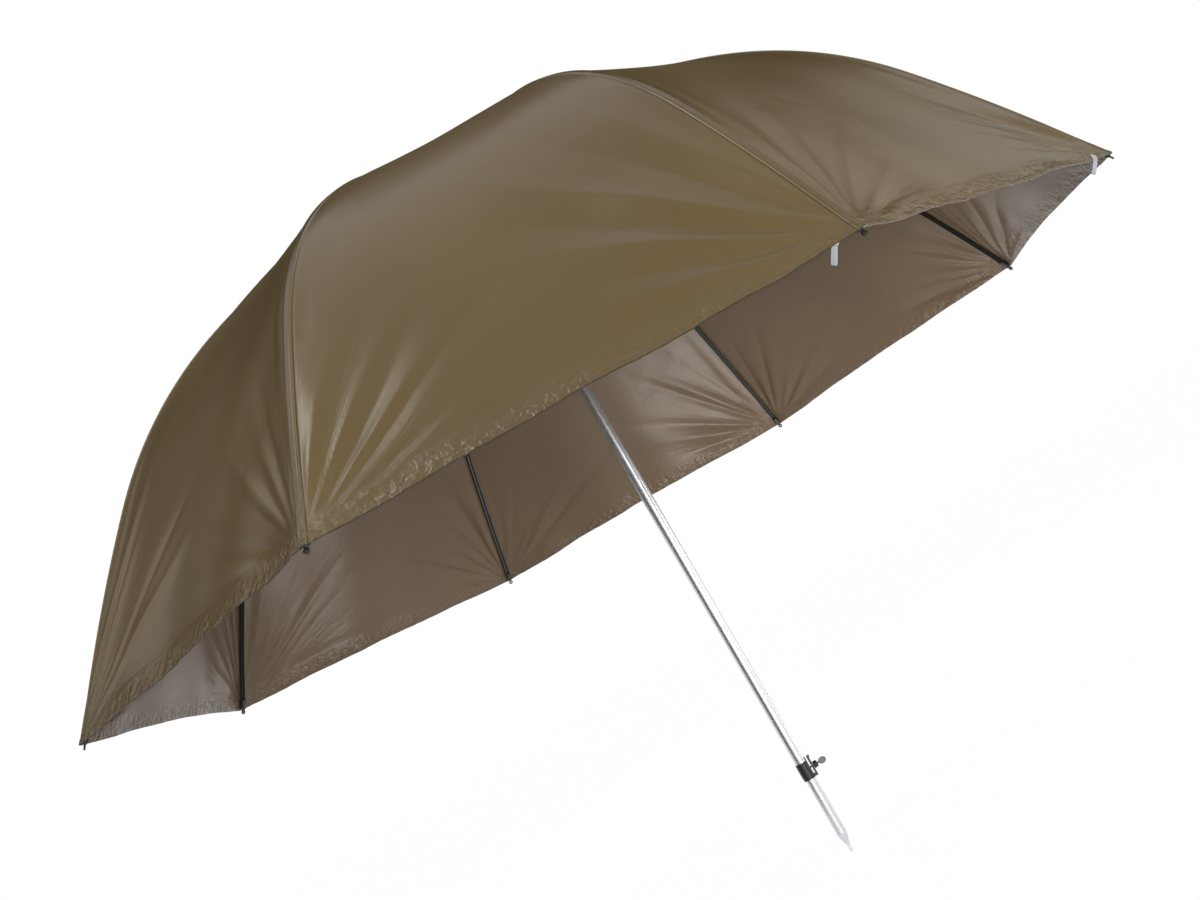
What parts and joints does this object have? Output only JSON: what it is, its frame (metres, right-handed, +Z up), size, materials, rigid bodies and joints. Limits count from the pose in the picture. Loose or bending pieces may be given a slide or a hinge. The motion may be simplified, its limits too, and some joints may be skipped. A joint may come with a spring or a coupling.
{
  "type": "fishing umbrella",
  "caption": "Ground-spiked fishing umbrella: hinged steel ribs and stretchers fold a domed cloth canopy on a telescoping pole with a thumb-screw clamp.",
  "frame": {"origin": "point of the ground spike", "axes": "+Z up along the pole; the clamp's thumb screw points to +X; the middle of the front panel faces -Y"},
  "size_m": [1.9504, 1.9504, 1.5556],
  "materials": {
    "spike": "drawn, bright",
    "inner_tube": "drawn, bright",
    "guide": "moulded",
    "pole": "drawn, bright",
    "collar": "moulded, black",
    "nut": "moulded, black",
    "screw": "plated",
    "hub": "cast",
    "pin": "plated",
    "wire": "drawn wire",
    "washer": "plated",
    "cap": "moulded, black",
    "runner": "moulded, black",
    "catch": "spring steel",
    "bracket": "dark paint",
    "tip": "moulded, black",
    "rib": "dark green-black paint",
    "stretcher": "dark green-black paint",
    "canopy": "coated nylon, satin olive brown",
    "webbing": "woven tape, pale"
  },
  "bodies": {
    "ground_tube": {"spike_point": "spike", "inner_tube": "inner_tube", "tube_guide": "guide"},
    "pole": {"pole_lower": "pole", "pole_upper": "pole", "clamp_collar": "collar", "clamp_nut": "nut", "crown_hub": "hub", "crown_pin": "pin", "rib_wire": "wire", "crown_washer": "washer", "crown_cap": "cap", "runner_catch": "catch"},
    "clamp_screw": {"thumb_screw": "screw"},
    "runner_ring": {"runner": "runner"},
    "rib_1_arm": {"rib_1": "rib", "rib_bracket_1": "bracket", "rib_tip_1": "tip", "canopy_leaf_1": "canopy"},
    "rib_2_arm": {"rib_2": "rib", "rib_bracket_2": "bracket", "rib_tip_2": "tip", "canopy_leaf_2": "canopy", "loop_tab_1": "webbing"},
    "rib_3_arm": {"rib_3": "rib", "rib_bracket_3": "bracket", "rib_tip_3": "tip", "canopy_leaf_3": "canopy", "loop_tab_2": "webbing"},
    "rib_4_arm": {"rib_4": "rib", "rib_bracket_4": "bracket", "rib_tip_4": "tip", "canopy_leaf_4": "canopy"},
    "rib_5_arm": {"rib_5": "rib", "rib_bracket_5": "bracket", "rib_tip_5": "tip", "canopy_leaf_5": "canopy"},
    "rib_6_arm": {"rib_6": "rib", "rib_bracket_6": "bracket", "rib_tip_6": "tip", "canopy_leaf_6": "canopy"},
    "rib_7_arm": {"rib_7": "rib", "rib_bracket_7": "bracket", "rib_tip_7": "tip", "canopy_leaf_7": "canopy"},
    "rib_8_arm": {"rib_8": "rib", "rib_bracket_8": "bracket", "rib_tip_8": "tip", "canopy_leaf_8": "canopy"},
    "stretcher_1_arm": {"stretcher_1": "stretcher"},
    "stretcher_2_arm": {"stretcher_2": "stretcher"},
    "stretcher_3_arm": {"stretcher_3": "stretcher"},
    "stretcher_4_arm": {"stretcher_4": "stretcher"},
    "stretcher_5_arm": {"stretcher_5": "stretcher"},
    "stretcher_6_arm": {"stretcher_6": "stretcher"},
    "stretcher_7_arm": {"stretcher_7": "stretcher"},
    "stretcher_8_arm": {"stretcher_8": "stretcher"},
    "loop_1": {"guy_loop_1": "webbing"},
    "loop_2": {"guy_loop_2": "webbing"}
  },
  "joints": [
    {"name": "pole_extension", "type": "slide", "parent": "ground_tube", "child": "pole", "axis": [0, 0, 1], "range_m": [0, 0.55]},
    {"name": "clamp_screw_turn", "type": "hinge", "parent": "pole", "child": "clamp_screw", "pos_m": [0.0288, 0, 0.174], "axis": [1, 0, 0], "range_deg": [0, 450]},
    {"name": "runner_travel", "type": "slide", "parent": "pole", "child": "runner_ring", "axis": [0, 0, -1], "range_m": [0, 0.53599]},
    {"name": "rib_1_fold", "type": "hinge", "parent": "pole", "child": "rib_1_arm", "pos_m": [-0.00918, -0.02217, 1.5343], "axis": [0.9239, -0.3827, 0], "range_deg": [0, 52], "deforming": ["canopy_leaf_1", "runner_catch"]},
    {"name": "rib_2_fold", "type": "hinge", "parent": "pole", "child": "rib_2_arm", "pos_m": [0.00918, -0.02217, 1.5343], "axis": [0.9239, 0.3827, 0], "range_deg": [0, 52], "deforming": ["canopy_leaf_2"]},
    {"name": "rib_3_fold", "type": "hinge", "parent": "pole", "child": "rib_3_arm", "pos_m": [0.02217, -0.00918, 1.5343], "axis": [0.3827, 0.9239, 0], "range_deg": [0, 52], "deforming": ["canopy_leaf_3"]},
    {"name": "rib_4_fold", "type": "hinge", "parent": "pole", "child": "rib_4_arm", "pos_m": [0.02217, 0.00918, 1.5343], "axis": [-0.3827, 0.9239, 0], "range_deg": [0, 52], "deforming": ["canopy_leaf_4"]},
    {"name": "rib_5_fold", "type": "hinge", "parent": "pole", "child": "rib_5_arm", "pos_m": [0.00918, 0.02217, 1.5343], "axis": [-0.9239, 0.3827, 0], "range_deg": [0, 52], "deforming": ["canopy_leaf_5"]},
    {"name": "rib_6_fold", "type": "hinge", "parent": "pole", "child": "rib_6_arm", "pos_m": [-0.00918, 0.02217, 1.5343], "axis": [-0.9239, -0.3827, 0], "range_deg": [0, 52], "deforming": ["canopy_leaf_6"]},
    {"name": "rib_7_fold", "type": "hinge", "parent": "pole", "child": "rib_7_arm", "pos_m": [-0.02217, 0.00918, 1.5343], "axis": [-0.3827, -0.9239, 0], "range_deg": [0, 52], "deforming": ["canopy_leaf_7"]},
    {"name": "rib_8_fold", "type": "hinge", "parent": "pole", "child": "rib_8_arm", "pos_m": [-0.02217, -0.00918, 1.5343], "axis": [0.3827, -0.9239, 0], "range_deg": [0, 52], "deforming": ["canopy_leaf_8"]},
    {"name": "stretcher_1_swing", "type": "hinge", "parent": "rib_1_arm", "child": "stretcher_1_arm", "pos_m": [-0.18467, -0.44582, 1.41084], "axis": [-0.9239, 0.3827, 0], "range_deg": [0, 90.02]},
    {"name": "stretcher_2_swing", "type": "hinge", "parent": "rib_2_arm", "child": "stretcher_2_arm", "pos_m": [0.18467, -0.44582, 1.41084], "axis": [-0.9239, -0.3827, 0], "range_deg": [0, 90.02]},
    {"name": "stretcher_3_swing", "type": "hinge", "parent": "rib_3_arm", "child": "stretcher_3_arm", "pos_m": [0.44582, -0.18467, 1.41084], "axis": [-0.3827, -0.9239, 0], "range_deg": [0, 90.02]},
    {"name": "stretcher_4_swing", "type": "hinge", "parent": "rib_4_arm", "child": "stretcher_4_arm", "pos_m": [0.44582, 0.18467, 1.41084], "axis": [0.3827, -0.9239, 0], "range_deg": [0, 90.02]},
    {"name": "stretcher_5_swing", "type": "hinge", "parent": "rib_5_arm", "child": "stretcher_5_arm", "pos_m": [0.18467, 0.44582, 1.41084], "axis": [0.9239, -0.3827, 0], "range_deg": [0, 90.02]},
    {"name": "stretcher_6_swing", "type": "hinge", "parent": "rib_6_arm", "child": "stretcher_6_arm", "pos_m": [-0.18467, 0.44582, 1.41084], "axis": [0.9239, 0.3827, 0], "range_deg": [0, 90.02]},
    {"name": "stretcher_7_swing", "type": "hinge", "parent": "rib_7_arm", "child": "stretcher_7_arm", "pos_m": [-0.44582, 0.18467, 1.41084], "axis": [0.3827, 0.9239, 0], "range_deg": [0, 90.02]},
    {"name": "stretcher_8_swing", "type": "hinge", "parent": "rib_8_arm", "child": "stretcher_8_arm", "pos_m": [-0.44582, -0.18467, 1.41084], "axis": [-0.3827, 0.9239, 0], "range_deg": [0, 90.02]},
    {"name": "guy_loop_1_swing", "type": "hinge", "parent": "rib_2_arm", "child": "loop_1", "pos_m": [0.36025, -0.97215, 0.84638], "axis": [0.66, -0.4202, -0.6228], "range_deg": [-25, 25], "stiffness_Nm_per_rad": 0.02},
    {"name": "guy_loop_2_swing", "type": "hinge", "parent": "rib_3_arm", "child": "loop_2", "pos_m": [0.92771, -0.44528, 0.84626], "axis": [0.7602, 0.1625, -0.629], "range_deg": [-25, 25], "stiffness_Nm_per_rad": 0.02}
  ],
  "couplings": [
    {"joint": "runner_travel", "follows": "rib_1_fold", "m_per_rad": 0.59057},
    {"joint": "rib_2_fold", "follows": "rib_1_fold", "ratio": 1},
    {"joint": "rib_3_fold", "follows": "rib_1_fold", "ratio": 1},
    {"joint": "rib_4_fold", "follows": "rib_1_fold", "ratio": 1},
    {"joint": "rib_5_fold", "follows": "rib_1_fold", "ratio": 1},
    {"joint": "rib_6_fold", "follows": "rib_1_fold", "ratio": 1},
    {"joint": "rib_7_fold", "follows": "rib_1_fold", "ratio": 1},
    {"joint": "rib_8_fold", "follows": "rib_1_fold", "ratio": 1},
    {"joint": "stretcher_1_swing", "follows": "rib_1_fold", "ratio": 1.7312},
    {"joint": "stretcher_2_swing", "follows": "rib_1_fold", "ratio": 1.7312},
    {"joint": "stretcher_3_swing", "follows": "rib_1_fold", "ratio": 1.7312},
    {"joint": "stretcher_4_swing", "follows": "rib_1_fold", "ratio": 1.7312},
    {"joint": "stretcher_5_swing", "follows": "rib_1_fold", "ratio": 1.7312},
    {"joint": "stretcher_6_swing", "follows": "rib_1_fold", "ratio": 1.7312},
    {"joint": "stretcher_7_swing", "follows": "rib_1_fold", "ratio": 1.7312},
    {"joint": "stretcher_8_swing", "follows": "rib_1_fold", "ratio": 1.7312}
  ]
}
